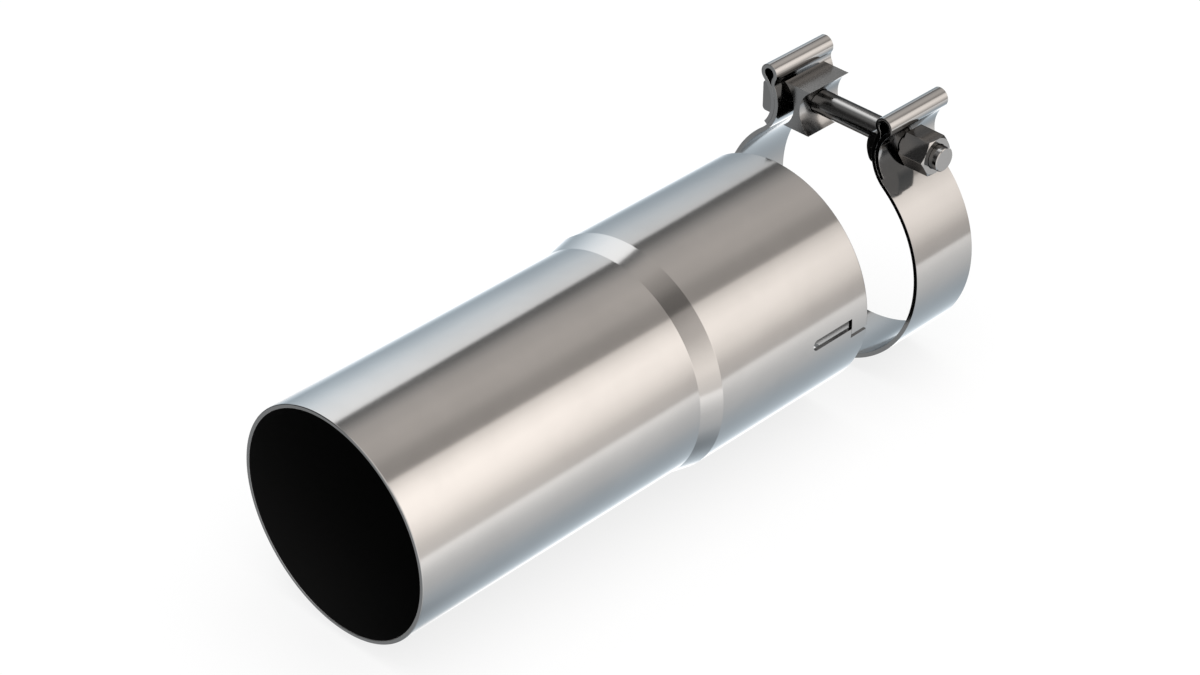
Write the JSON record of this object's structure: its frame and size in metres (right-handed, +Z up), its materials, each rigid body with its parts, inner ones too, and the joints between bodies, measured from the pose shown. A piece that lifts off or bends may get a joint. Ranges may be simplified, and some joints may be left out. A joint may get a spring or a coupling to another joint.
{
  "type": "exhaust connection pipe with band clamp",
  "caption": "Stainless exhaust connector: a straight tube swaged up to a slotted socket, with a rolled-lug band clamp, bar-head bolt, spacer block and nut shown just off its end.",
  "frame": {"origin": "centre of the small tube's open end, on the pipe's axis", "axes": "+X along the pipe's axis from the small end to the socket and the clamp, +Z up through the gap between the clamp's lugs, +Y towards the bolt's head"},
  "size_m": [0.2752, 0.0968, 0.1141],
  "materials": {
    "pipe_steel": "satin rolled stainless tube with fine lines along its length",
    "band_steel": "satin rolled stainless strip",
    "bolt_steel": "smooth plated steel",
    "block_steel": "plain machined steel"
  },
  "bodies": {
    "root": {"connection_pipe": "pipe_steel", "clamp_band": "band_steel", "bar_head_bolt": "bolt_steel", "spacer_block": "block_steel", "saddle_bar": "block_steel", "hex_nut": "bolt_steel"}
  },
  "joints": []
}
